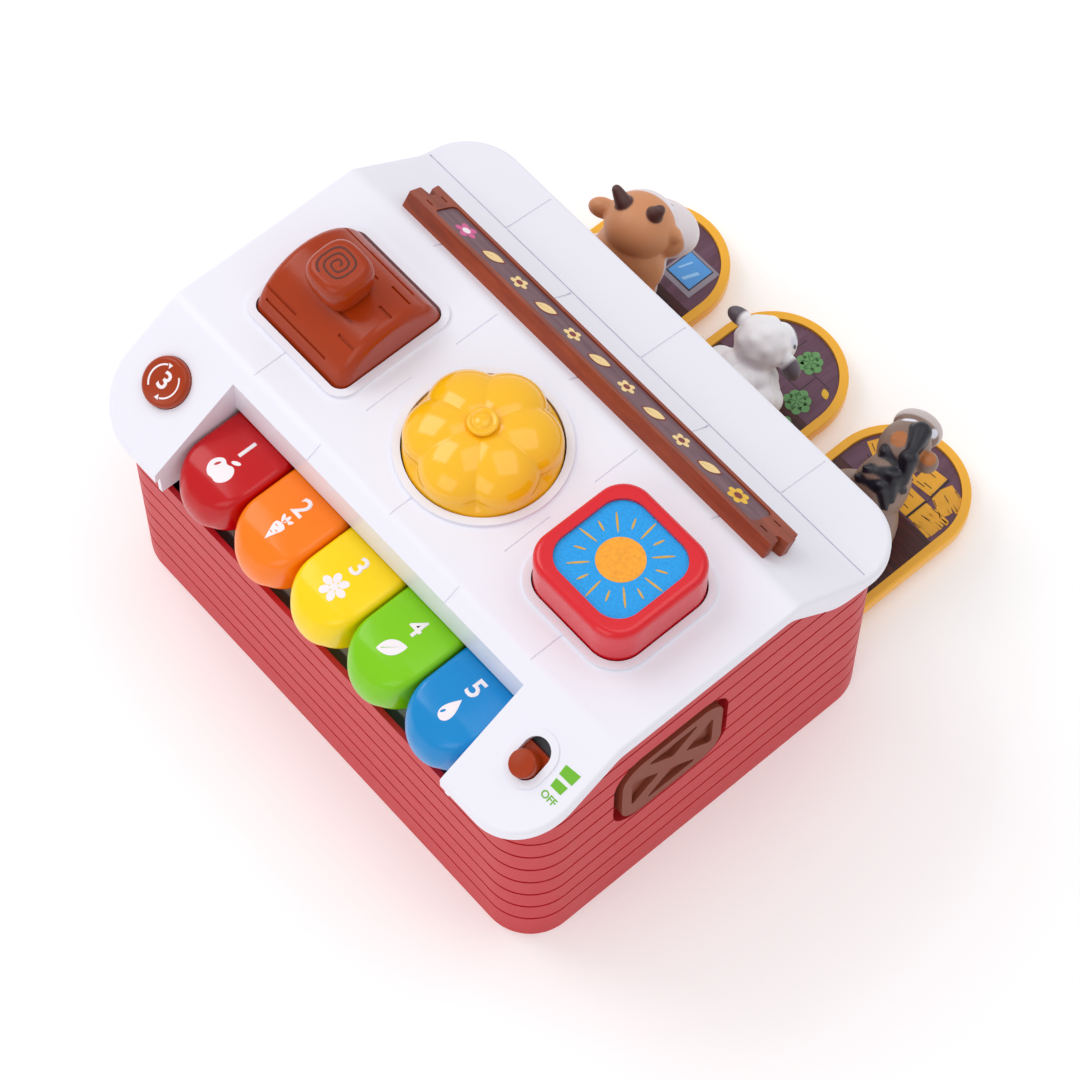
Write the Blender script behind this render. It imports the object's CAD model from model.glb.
# %% [markdown]
# # A barn-shaped pop up toy
# This lesson dresses a finished mechanical model of a baby's activity toy. The
# solids already have their true shape and place, so most steps here choose a
# surface for them. A few pieces get a new body: the keys, the stump knob, the
# pumpkin, the animals and all the print. Lengths are in metres and +Z points up.

# %% Load the frame
from functools import partial
from math import ceil, cos, exp, floor, pi, radians, sin, sqrt

import bmesh
import bpy
from mathutils import Matrix, Vector
from mathutils.bvhtree import BVHTree


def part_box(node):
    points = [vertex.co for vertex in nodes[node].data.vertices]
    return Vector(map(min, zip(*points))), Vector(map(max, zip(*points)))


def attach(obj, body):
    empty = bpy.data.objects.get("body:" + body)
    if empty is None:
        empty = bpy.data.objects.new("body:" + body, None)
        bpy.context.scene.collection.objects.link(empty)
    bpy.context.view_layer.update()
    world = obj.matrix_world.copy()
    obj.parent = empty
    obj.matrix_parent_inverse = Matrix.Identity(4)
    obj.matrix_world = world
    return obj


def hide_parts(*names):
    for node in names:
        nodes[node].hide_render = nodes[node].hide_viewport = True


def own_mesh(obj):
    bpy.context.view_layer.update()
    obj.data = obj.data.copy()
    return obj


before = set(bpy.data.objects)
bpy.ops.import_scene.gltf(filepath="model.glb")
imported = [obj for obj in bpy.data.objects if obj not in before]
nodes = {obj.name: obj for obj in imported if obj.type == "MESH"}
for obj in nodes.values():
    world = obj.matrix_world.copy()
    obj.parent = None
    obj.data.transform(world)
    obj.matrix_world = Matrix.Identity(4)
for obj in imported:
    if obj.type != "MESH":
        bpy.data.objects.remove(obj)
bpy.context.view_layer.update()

scene = bpy.context.scene
MM = 0.001

# %% [markdown]
# ## The camera and the studio
# The toy is looked down on over its front right corner with a long lens. A long
# lens from far away keeps parallel edges nearly parallel. The light is a pale
# world with big soft lamps, which plastic shows as broad, gentle highlights.

# %% Camera
AZIMUTH, ELEVATION, ROLL = radians(48.563), radians(61.721), radians(0.364)
DISTANCE, AIM = 1.65395, Vector((-0.01106, 0.03499, 0.0))
LENS_MM, FILM_MM = 118.28, 36.0


def aim_camera():
    back = Vector((sin(AZIMUTH) * cos(ELEVATION), -cos(AZIMUTH) * cos(ELEVATION),
                   sin(ELEVATION)))
    right = (-back).cross(Vector((0, 0, 1))).normalized()
    up = right.cross(-back)
    turned_right = right * cos(ROLL) + up * sin(ROLL)
    turned_up = up * cos(ROLL) - right * sin(ROLL)
    axes = Matrix((turned_right, turned_up, back)).transposed().to_4x4()
    data = bpy.data.cameras.new("studio_camera")
    data.lens, data.sensor_width, data.clip_end = LENS_MM, FILM_MM, 20.0
    camera = bpy.data.objects.new("studio_camera", data)
    camera.matrix_world = Matrix.Translation(AIM + back * DISTANCE) @ axes
    scene.collection.objects.link(camera)
    scene.camera = camera


aim_camera()
print("camera stands at", [round(v, 3) for v in scene.camera.matrix_world.translation])

# %% Floor, lamps and world
FLOOR_HALF = 3.0


def new_object(name, data):
    obj = bpy.data.objects.new(name, data)
    scene.collection.objects.link(obj)
    return obj


def mesh_object(name, points, faces):
    data = bpy.data.meshes.new(name)
    data.from_pydata([tuple(p) for p in points], [], faces)
    data.update()
    return new_object(name, data)


def area_lamp(name, place, size, power):
    data = bpy.data.lights.new(name, "AREA")
    data.shape, data.size, data.energy = "SQUARE", size, power
    lamp = new_object(name, data)
    lamp.location = place
    lamp.rotation_euler = (-Vector(place)).to_track_quat("-Z", "Y").to_euler()
    return lamp


corners = [(-FLOOR_HALF, -FLOOR_HALF, 0), (FLOOR_HALF, -FLOOR_HALF, 0), (FLOOR_HALF, FLOOR_HALF, 0),
           (-FLOOR_HALF, FLOOR_HALF, 0)]
ground = mesh_object("studio_floor", corners, [(0, 1, 2, 3)])
area_lamp("lamp_left", (-1.3, -0.3, 1.6), 1.2, 11.0)
area_lamp("lamp_front", (0.3, -1.7, 1.3), 1.4, 7.0)
area_lamp("lamp_top", (0.3, 0.6, 2.2), 1.6, 9.0)
world = bpy.data.worlds.new("studio_world")
world.use_nodes = True
world.node_tree.nodes["Background"].inputs["Color"].default_value = (1.0, 1.0, 1.0, 1.0)
world.node_tree.nodes["Background"].inputs["Strength"].default_value = 0.62
scene.world = world
scene.view_settings.view_transform = "Standard"

# %% [markdown]
# ## Moulded plastic
# Nearly everything here is injection moulded. Real mouldings are never one even
# colour: the pigment swirls a little, the gloss wanders, and the skin has a very
# fine orange peel. One shader node group holds these three effects, and each
# plastic sets its own amounts. The Principled shader itself stays in the material.

# %% Node helpers
def put(tree, socket, value):
    """Feeds a socket from another socket, or sets its own value."""
    if isinstance(value, bpy.types.NodeSocket):
        tree.links.new(value, socket)
    else:
        socket.default_value = value


def add_node(tree, kind, inputs=None, **settings):
    node = tree.nodes.new(kind)
    for key, value in settings.items():
        setattr(node, key, value)
    for key, value in (inputs or {}).items():
        put(tree, node.inputs[key], value)
    return node


def calc(tree, operation, *values):
    node = add_node(tree, "ShaderNodeMath", operation=operation)
    for slot, value in enumerate(values):
        put(tree, node.inputs[slot], value)
    return node.outputs[0]


def xyz(tree, x=0.0, y=0.0, z=0.0):
    """A vector made from three values or sockets."""
    return add_node(tree, "ShaderNodeCombineXYZ", {"X": x, "Y": y, "Z": z}).outputs[0]


def noise(tree, coords, scale, detail, rough=0.55):
    return add_node(tree, "ShaderNodeTexNoise", {"Vector": coords, "Scale": scale, "Detail": detail,
                                                 "Roughness": rough}).outputs["Fac"]


print("node helpers ready")


# %% The moulding group
def group_socket(tree, name, side, value=None):
    kind = "NodeSocketColor" if name == "Color" else "NodeSocketFloat"
    socket = tree.interface.new_socket(name, in_out=side, socket_type=kind)
    if value is not None:
        socket.default_value = value


def build_moulding_group():
    tree = bpy.data.node_groups.new("moulded_skin", "ShaderNodeTree")
    for name, value in (("Color", (0.8, 0.8, 0.8, 1)), ("Swirl", 0.06), ("Swirl Scale", 22.0),
                        ("Roughness", 0.3), ("Gloss Drift", 0.08), ("Peel Scale", 900.0)):
        group_socket(tree, name, "INPUT", value)
    for name in ("Color", "Roughness", "Height"):
        group_socket(tree, name, "OUTPUT")
    given = add_node(tree, "NodeGroupInput").outputs
    coords = add_node(tree, "ShaderNodeTexCoord").outputs["Object"]
    swirl = calc(tree, "SUBTRACT", noise(tree, coords, given["Swirl Scale"], 4.0, 0.6), 0.5)
    tone = calc(tree, "MULTIPLY_ADD", swirl, given["Swirl"], 1.0)
    tint = add_node(tree, "ShaderNodeVectorMath", {0: given["Color"], "Scale": tone}, operation="SCALE")
    drift = calc(tree, "SUBTRACT", noise(tree, coords, 55.0, 2.0), 0.5)
    spread = calc(tree, "MULTIPLY", drift, given["Gloss Drift"])
    gloss = add_node(tree, "ShaderNodeMath", {0: spread, 1: given["Roughness"]}, operation="ADD",
                     use_clamp=True)
    peel = noise(tree, coords, given["Peel Scale"], 1.0)
    add_node(tree, "NodeGroupOutput", {"Color": tint.outputs[0], "Roughness": gloss.outputs[0],
                                       "Height": peel})
    return tree


MOULDING = build_moulding_group()
print("moulding group sockets:", len(MOULDING.interface.items_tree))

# %% A material builder
PEEL_DEPTH = 0.12 * MM
COAT_ROUGHNESS = 0.06
GLOW_DEPTH = 4.0 * MM
DIM_SHEEN = 0.36


def linear(rgb):
    """Screen colour, 0 to 255, as the light values that shaders use."""
    shares = [value / 255.0 for value in rgb]
    return (*[v / 12.92 if v <= 0.04045 else ((v + 0.055) / 1.055) ** 2.4 for v in shares], 1.0)


def new_material(name, rgb):
    material = bpy.data.materials.new(name)
    material.use_nodes = True
    material.diffuse_color = linear(rgb)
    return material


def set_shader(material, **values):
    """Feeds or sets Principled inputs by name. Underscores stand for spaces."""
    for key, value in values.items():
        tree = material.node_tree
        put(tree, tree.nodes["Principled BSDF"].inputs[key.replace("_", " ")], value)


def plastic(name, rgb, rough, swirl=0.08, scale=22.0, bump=0.02, coat=0.0, sss=0.0, source=None):
    """A moulded plastic. source(tree) may return a colour socket in place of the plain colour."""
    material = new_material(name, rgb)
    tree = material.node_tree
    skin = add_node(tree, "ShaderNodeGroup", {"Color": linear(rgb), "Swirl": swirl, "Swirl Scale": scale,
                                              "Roughness": rough}, node_tree=MOULDING)
    if source:
        put(tree, skin.inputs["Color"], source(tree))
    relief = add_node(tree, "ShaderNodeBump", {"Strength": bump * 10, "Distance": PEEL_DEPTH,
                                               "Height": skin.outputs["Height"]})
    set_shader(material, Base_Color=skin.outputs["Color"], Roughness=skin.outputs["Roughness"],
               Normal=relief.outputs["Normal"], Coat_Weight=coat, Coat_Roughness=COAT_ROUGHNESS)
    if sss:
        set_shader(material, Subsurface_Weight=sss, Subsurface_Scale=GLOW_DEPTH)
    return material


def dress(material, *names):
    for name in names:
        data = nodes[name].data
        data.materials.clear()
        data.materials.append(material)
        for face in data.polygons:
            face.material_index = 0


PAPER = plastic("studio_paper", (252, 252, 253), rough=0.9, swirl=0.01, bump=0.0)
set_shader(PAPER, Emission_Color=(1.0, 1.0, 1.0, 1.0), Emission_Strength=0.14)
ground.data.materials.append(PAPER)
print("floor finish:", PAPER.name)

# %% [markdown]
# ## Shell, keys and controls
# The roof is a cool white, the walls a warm red with darker joints because less
# light gets into them. The keys go from red to blue, and brown stands for wood.
# Deep colours reflect a little less, or the bright world would turn them pale.

# %% Plastics of the large pieces
dress(plastic("roof_white", (238, 237, 247), rough=0.34, swirl=0.03, bump=0.015), "roof_cover")
dress(plastic("barn_red", (200, 26, 38), rough=0.46, swirl=0.06, bump=0.03), "barn_body", "base_plate",
      "battery_door")
dress(plastic("stall_red", (128, 30, 34), rough=0.55, swirl=0.1), "stall_left", "stall_middle", "stall_right")
LOG_BROWN = plastic("log_brown", (164, 52, 4), rough=0.25, swirl=0.16, scale=40.0)
set_shader(LOG_BROWN, Specular_IOR_Level=DIM_SHEEN)
dress(LOG_BROWN, "log_drum", "log_knob", "mode_button", "switch_knob")
dress(plastic("window_brown", (134, 58, 34), rough=0.6, swirl=0.16, scale=60.0), "window_left",
      "window_right")
PUMPKIN_YELLOW = plastic("pumpkin_yellow", (255, 190, 22), rough=0.14, swirl=0.03, bump=0.003, coat=0.3,
                         sss=0.1)
dress(PUMPKIN_YELLOW, "pumpkin_cap")
dress(plastic("button_red", (222, 8, 30), rough=0.24, swirl=0.05, coat=0.15), "sun_frame")
dress(plastic("door_amber", (255, 186, 50), rough=0.34, swirl=0.06), "door_left", "door_middle", "door_right")
dress(plastic("hidden_grey", (96, 97, 102), rough=0.6, swirl=0.1), "key_chassis", "roller_bracket",
      "pumpkin_guide", "pumpkin_shaft", "sun_guide", "switch_body", "mode_switch", "latch_left",
      "latch_middle", "latch_right", "speaker")
KEY_COLOURS = {"red": (194, 0, 12), "orange": (255, 126, 10), "yellow": (254, 216, 4),
               "green": (128, 204, 4), "blue": (0, 136, 206)}
for number, (name, rgb) in enumerate(KEY_COLOURS.items(), 1):
    key_gloss = plastic("key_" + name, rgb, rough=0.2, swirl=0.05, bump=0.004, coat=0.12, sss=0.02)
    set_shader(key_gloss, Specular_IOR_Level=DIM_SHEEN)
    dress(key_gloss, "key_%d" % number)
print("plastics:", len(bpy.data.materials))


# %% Metal, rubber and electronics
def two_tone(tree, fac, dark, light, low=0.0, high=1.0):
    ramp = add_node(tree, "ShaderNodeValToRGB", {"Fac": fac})
    for element, place, colour in zip(ramp.color_ramp.elements, (low, high), (dark, light)):
        element.position, element.color = place, colour
    return ramp.outputs["Color"]


def metal(name, rgb, rough, scale):
    material = new_material(name, rgb)
    tree = material.node_tree
    coords = add_node(tree, "ShaderNodeTexCoord").outputs["Object"]
    streak = noise(tree, coords, scale, 5.0)
    dark = tuple(v * 0.75 for v in linear(rgb)[:3]) + (1.0,)
    set_shader(material, Base_Color=two_tone(tree, streak, dark, linear(rgb)), Metallic=1.0,
               Roughness=calc(tree, "MULTIPLY_ADD", streak, 0.2, rough))
    return material


dress(metal("zinc_steel", (190, 191, 194), 0.25, 320.0), "key_axle", "roller_axle", "door_pins",
      "base_screws", "roof_screws", "board_screws", "log_knob_screw", "battery_door_screw")
dress(metal("plated_contact", (214, 212, 205), 0.15, 500.0), "battery_contacts", "sun_spring")
dress(plastic("cell_wrap", (40, 42, 48), rough=0.3, swirl=0.2), "batteries")
dress(plastic("board_green", (24, 96, 48), rough=0.35, swirl=0.2, scale=90.0), "main_board")
dress(plastic("dome_rubber", (190, 190, 188), rough=0.7), "key_dome_strip")
dress(plastic("lamp_milk", (245, 240, 220), rough=0.3, sss=0.2), "sun_lamp")
print("materials so far:", len(bpy.data.materials))

# %% [markdown]
# ## Wood-look sign and panels
# The sign rail is brown plastic that plays a plank, with a printed label. Wood
# grain on it is stretched noise: a Wave texture would be too regular for a print.

# %% Grain sources
def grain(dark, light, stretch, scale):
    """Colour of printed wood: noise drawn out along one axis."""
    def source(tree):
        coords = add_node(tree, "ShaderNodeTexCoord").outputs["Object"]
        place = add_node(tree, "ShaderNodeMapping", {"Vector": coords, "Scale": stretch})
        streak = noise(tree, place.outputs["Vector"], scale, 6.0, 0.65)
        return two_tone(tree, streak, linear(dark), linear(light), 0.35, 0.65)
    return source


dress(plastic("sign_wood", (150, 62, 30), rough=0.4,
              source=grain((128, 48, 22), (160, 68, 34), (1, 6, 6), 30.0)), "sign_rail")
dress(plastic("sign_print", (110, 78, 88), rough=0.45,
              source=grain((96, 66, 78), (126, 92, 100), (1, 8, 8), 40.0)), "sign_label")
dress(plastic("door_print", (100, 64, 84), rough=0.5,
              source=grain((92, 56, 72), (112, 74, 96), (8, 1, 8), 26.0)),
      "door_panel_left", "door_panel_middle", "door_panel_right")
dress(plastic("sky_print", (0, 156, 234), rough=0.42, swirl=0.9, scale=900.0), "sun_lens")
print("grain prints done")

# %% [markdown]
# ## Rules that make shapes
# Some shapes are best told as a rule: so many petals round a ring, so many lobes
# round a dome. Geometry Nodes keep such a rule editable while it is being tuned.
# Once it is right, the result is turned into a plain mesh that can be exported.

# %% Building and baking a rule
def rule_tree(name, inputs):
    """An empty Geometry Nodes tree with named inputs: whole numbers, sizes or a material."""
    tree = bpy.data.node_groups.new(name, "GeometryNodeTree")
    tree.interface.new_socket("Geometry", in_out="INPUT", socket_type="NodeSocketGeometry")
    tree.interface.new_socket("Geometry", in_out="OUTPUT", socket_type="NodeSocketGeometry")
    kinds = {int: "NodeSocketInt", float: "NodeSocketFloat"}
    for label, value in inputs.items():
        socket = tree.interface.new_socket(label, in_out="INPUT", socket_type=kinds[type(value)])
        socket.default_value = value
    tree.interface.new_socket("Finish", in_out="INPUT", socket_type="NodeSocketMaterial")
    return tree, add_node(tree, "NodeGroupInput").outputs


def close_rule(tree, size, geometry):
    real = add_node(tree, "GeometryNodeRealizeInstances", {"Geometry": geometry})
    finish = add_node(tree, "GeometryNodeSetMaterial", {"Geometry": real.outputs[0],
                                                        "Material": size["Finish"]})
    add_node(tree, "NodeGroupOutput", {"Geometry": finish.outputs[0]})
    return tree


def set_on(tree, points, shape, **more):
    """One copy of a shape on every point."""
    return add_node(tree, "GeometryNodeInstanceOnPoints",
                    {"Points": points, "Instance": shape, **more}).outputs[0]


def plain_mesh(holder):
    """What an object looks like with its modifiers applied. The object itself goes."""
    graph = bpy.context.evaluated_depsgraph_get()
    data = bpy.data.meshes.new_from_object(holder.evaluated_get(graph))
    bpy.data.objects.remove(holder)
    return data


def bake(name, tree, finish, points=((0, 0, 0),), **values):
    """Runs a rule once and returns its result as a plain mesh. Underscores stand for spaces."""
    holder = mesh_object(name, points, [])
    modifier = holder.modifiers.new("rule", "NODES")
    modifier.node_group = tree
    wanted = {key.replace("_", " "): value for key, value in values.items()}
    wanted["Finish"] = finish
    for item in tree.interface.items_tree:
        if item.item_type == "SOCKET" and item.name in wanted and item.in_out == "INPUT":
            modifier[item.identifier] = wanted[item.name]
    return plain_mesh(holder)


print("rule helpers ready")

# %% [markdown]
# ## Sculpted animals
# Each animal is one soft vinyl moulding. A quick way to sculpt such a form is to
# overlap stretched balls and let a voxel remesh melt them into one skin, then
# smooth it. The colour fields are kept as distances on the points, so that paint
# edges stay sharp in the shader however coarse the mesh is.

# %% Ball sculpting
def turned(degrees, axis):
    return Matrix.Rotation(radians(degrees), 4, axis)


def mesh_from(work, name):
    """Turns a finished bmesh into a mesh."""
    data = bpy.data.meshes.new(name)
    work.to_mesh(data)
    work.free()
    return data


def ball_matrix(centre, radii, turn_x=0.0, turn_z=0.0, turn_y=0.0):
    size = Matrix.Diagonal((*[r * MM for r in radii], 1.0))
    turn = turned(turn_z, "Z") @ turned(turn_x, "X") @ turned(turn_y, "Y")
    return Matrix.Translation(Vector(centre) * MM) @ turn @ size


def melt(name, balls, voxel, smoothing, floor_z):
    """One closed mesh from overlapping stretched balls, flat where it stands."""
    shape = bmesh.new()
    for ball in balls:
        bmesh.ops.create_icosphere(shape, subdivisions=4, radius=1.0, matrix=ball_matrix(*ball))
    holder = new_object(name, mesh_from(shape, name))
    remesh = holder.modifiers.new("melt", "REMESH")
    remesh.mode, remesh.voxel_size = "VOXEL", voxel
    soften = holder.modifiers.new("soften", "SMOOTH")
    soften.factor, soften.iterations = 0.5, smoothing
    done = plain_mesh(holder)
    trim = bmesh.new()
    trim.from_mesh(done)
    cut = bmesh.ops.bisect_plane(trim, geom=trim.verts[:] + trim.edges[:] + trim.faces[:],
                                 plane_co=(0, 0, floor_z), plane_no=(0, 0, -1), clear_outer=True)
    rim = [e for e in cut["geom_cut"] if isinstance(e, bmesh.types.BMEdge)]
    bmesh.ops.holes_fill(trim, edges=rim)
    bmesh.ops.recalc_face_normals(trim, faces=trim.faces[:])
    trim.to_mesh(done)
    trim.free()
    done.shade_smooth()
    return new_object(name, done)


print("sculpting helpers ready")


# %% Paint by distance
def paint_field(obj, name, balls):
    """Distance in millimetres to the nearest of some balls, negative inside, on each point."""
    inverses = [(ball_matrix(*b).inverted(), min(b[1])) for b in balls]
    field = obj.data.attributes.new(name, "FLOAT", "POINT")
    field.data.foreach_set("value", [min(((m @ v.co).length - 1.0) * r for m, r in inverses)
                                     for v in obj.data.vertices])


def painted(base, layers):
    """Colour source: base with each (field, colour, softness in mm) painted over it in turn."""
    def source(tree):
        result = linear(base)
        for field, rgb, softness in layers:
            distance = add_node(tree, "ShaderNodeAttribute", attribute_name=field)
            edge = add_node(tree, "ShaderNodeMapRange", {"Value": distance.outputs["Fac"],
                                                         "From Min": softness, "From Max": -softness})
            mix = add_node(tree, "ShaderNodeMix", {"Factor": edge.outputs["Result"], 6: result,
                                                   7: linear(rgb)}, data_type="RGBA")
            result = mix.outputs[2]
        return result
    return source


def dress_animal(animal, name, side, base, rough, layers):
    """Paints each layer's field, gives the body its vinyl and stands it on its door."""
    for field, rgb, softness, balls in layers:
        paint_field(animal, field, balls)
    source = painted(base, [layer[:3] for layer in layers])
    animal.data.materials.append(plastic(name + "_vinyl", base, rough=rough, sss=0.04, source=source))
    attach(animal, "door_" + side)
    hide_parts(name + "_figure")
    print(name, "faces:", len(animal.data.polygons))


PANEL_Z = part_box("door_panel_left")[1].z
HEAD_YAW = 20.0
DOOR_X = {"left": -83.0, "middle": 0.0, "right": 83.0}
print("the animals stand at z =", round(PANEL_Z, 4))

# %% The cow
x = DOOR_X["left"]


def lock(foot, tip, wide, taper=0.55, steps=8):
    """Balls that shrink along a line, for a horn or a lock of hair."""
    foot, tip = Vector(foot), Vector(tip)
    sizes = [wide * (1 - taper * i / (steps - 1)) for i in range(steps)]
    return [(tuple(foot.lerp(tip, i / (steps - 1))), (r, r, r)) for i, r in enumerate(sizes)]


horns = (lock((x - 5.5, 153.8, 78), (x - 10.6, 154.0, 82.6), 4.2, 0.4)
         + lock((x + 9.6, 160.0, 79), (x + 10.9, 161.8, 82.0), 3.8, 0.3))
cow = melt("cow", [((x + 1, 138, 32), (23, 27, 25)),
                   ((x + 4, 150, 46), (18, 16, 24), 0, HEAD_YAW),
                   ((x + 2.5, 157.5, 65), (17, 18, 15), -8, HEAD_YAW),
                   ((x + 6, 168.5, 55), (18.5, 15.5, 13), -20, HEAD_YAW),
                   ((x - 16, 151, 64), (7.5, 5, 5.5), 0, HEAD_YAW + 8),
                   ((x + 14.0, 163.0, 66), (8.4, 4.8, 5.6), 0, HEAD_YAW + 5)] + horns,
           voxel=0.9 * MM, smoothing=3, floor_z=PANEL_Z)
dress_animal(cow, "cow", "left", (216, 148, 102), 0.45, [
    ("white", (232, 222, 226), 0.4, [((x - 23.3, 217.0, 17.5), (80, 80, 80))]),
    ("eye", (236, 232, 244), 0.3, [((x + 5.6, 173.8, 70.6), (4.2, 3.6, 3.6), 0, 14),
                                   ((x - 9.0, 171.6, 65.5), (3.6, 3.6, 4.4))]),
    ("lash", (26, 28, 40), 0.3, [((x + 4.8, 176.0, 68.4), (2.3, 1.5, 2.4), 0, 14),
                                 ((x - 9.4, 173.0, 64.2), (2.0, 2.2, 2.8))]),
    ("horn", (84, 50, 46), 0.4, [(c, tuple(r + 0.7 for r in radii)) for c, radii in horns])])

# %% The sheep
x = DOOR_X["middle"]


def wool(centre, radius, lump, count):
    """Lumps spread evenly over a ball by the golden angle, like tight curls."""
    lumps = []
    for i in range(count):
        z = 1 - (i + 0.5) * 1.5 / count
        out = sqrt(1 - z * z)
        turn = i * pi * (3 - sqrt(5))
        spot = (centre[0] + radius * out * cos(turn), centre[1] + radius * out * sin(turn),
                centre[2] + radius * z)
        lumps.append((spot, (lump, lump, lump)))
    return lumps


SHEEP_HEAD = (x, 161.5, 54)
sheep = melt("sheep", [((x, 138, 30), (22, 26, 22)), ((x + 3, 149, 28), (18, 16.5, 20)),
                       (SHEEP_HEAD, (13.0, 13.0, 13.0)), ((x + 2, 171, 46), (9, 8.5, 11), -20),
                       ((x - 17, 163.5, 54), (7, 4.2, 4.5), 0, 10),
                       ((x + 15.5, 165.5, 47), (4.5, 4.5, 7.5), 0, 0, -35)]
             + wool(SHEEP_HEAD, 8.6, 5.1, 22) + wool((x + 2, 142, 30), 17.0, 7.4, 26),
             voxel=0.9 * MM, smoothing=4, floor_z=PANEL_Z)
dress_animal(sheep, "sheep", "middle", (242, 240, 244), 0.5, [
    ("dark", (100, 90, 100), 0.4, [((x + 3, 179, 43), (10, 9, 12), -20), ((x - 21, 163.5, 54), (7.4, 6, 6)),
                                   ((x + 19, 165.5, 44), (7.0, 6, 9.6), 0, 0, -35)]),
    ("eye", (230, 230, 244), 0.3, [((x + 9.0, 173.6, 51.6), (2.4, 3.4, 4.0), 0, -30),
                                   ((x - 7.4, 173.0, 52.0), (2.6, 3.6, 4.0), 0, 30)]),
    ("lash", (44, 40, 48), 0.3, [((x + 10.4, 173.4, 50.2), (0.9, 1.2, 2.0), 0, -30),
                                 ((x - 8.2, 173.8, 51.0), (1.4, 2.0, 2.4), 0, 30)])])

# %% The horse
x = DOOR_X["right"]
HAIR_LIFT = Vector((0.5, -0.3, 1.2))
LOCKS = [((x + 5.2, 176.2, 69.5), (x + 12.0, 163.0, 71.5), 5.0),
         ((x + 1.0, 158.5, 66.0), (x + 14.0, 157.5, 64.5), 2.9),
         ((x + 12.0, 162.0, 70.5), (x + 16.0, 156.5, 61.0), 4.2),
         ((x + 11.5, 153.5, 64.0), (x - 0.5, 147.5, 62.5), 3.4),
         ((x + 11.0, 147.0, 61.0), (x - 1.5, 143.5, 58.0), 3.0),
         ((x + 11.5, 147.5, 60.0), (x + 17.0, 145.0, 51.5), 3.0),
         ((x + 12.5, 155.0, 64.0), (x + 17.3, 156.0, 55.0), 3.2),
         ((x + 12.5, 151.5, 61.0), (x + 17.0, 148.5, 54.5), 3.4)]
hair = []
for foot, tip, wide in LOCKS:
    hair += lock(Vector(foot) + HAIR_LIFT, Vector(tip) + HAIR_LIFT, wide)
horse = melt("horse", [((x + 2, 136, 30), (23.5, 26, 22)), ((x + 6, 152, 46), (12.5, 16.5, 23), -16),
                       ((x + 3, 169, 61), (12, 15, 12), -10, HEAD_YAW),
                       ((x - 2.5, 184.0, 54.0), (12, 8.5, 9.0), -8, HEAD_YAW),
                       ((x + 1.6, 165.6, 68), (5.3, 5.3, 5.2), 0, HEAD_YAW),
                       ((x + 16.2, 170.4, 63.5), (5.3, 5.3, 5.2), 0, HEAD_YAW)] + hair,
             voxel=0.8 * MM, smoothing=2, floor_z=PANEL_Z)
dress_animal(horse, "horse", "right", (140, 114, 102), 0.42, [
    ("muzzle", (204, 192, 190), 0.5, [((x - 13.1, 212.8, 36.0), (40, 40, 40))]),
    ("ear", (184, 112, 58), 0.5, [((x + 2.2, 165.0, 73.4), (4.3, 4.3, 3.8)),
                                  ((x + 16.6, 170.4, 69.0), (4.3, 4.3, 3.8))]),
    ("eye", (232, 232, 246), 0.3, [((x - 3.2, 177.8, 69.2), (3.9, 2.0, 2.6), 0, 48),
                                   ((x + 5.8, 185.0, 58.4), (2.0, 2.4, 3.4))]),
    ("pupil", (36, 36, 52), 0.3, [((x - 3.4, 180.0, 67.0), (2.3, 0.8, 1.8), 0, 56),
                                  ((x + 5.4, 187.0, 57.8), (1.0, 1.0, 1.4))]),
    ("hair", (26, 26, 38), 0.4, [(c, tuple(r + 1.1 for r in radii)) for c, radii in hair])])

# %% [markdown]
# ## The pumpkin
# The yellow button is a dome of six swollen lobes. Each lobe is a ball that
# stands off the centre, and the wall under it is a plain ring. A ball seen from
# the middle has a simple formula for its distance, so the whole dome is one rule.

# %% Pumpkin dome
PUMPKIN_X, CONTROL_Y, ROOF_Z = 0.8 * MM, -7.8 * MM, 152.5 * MM
PUMPKIN_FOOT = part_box("pumpkin_cap")[0].z


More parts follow.
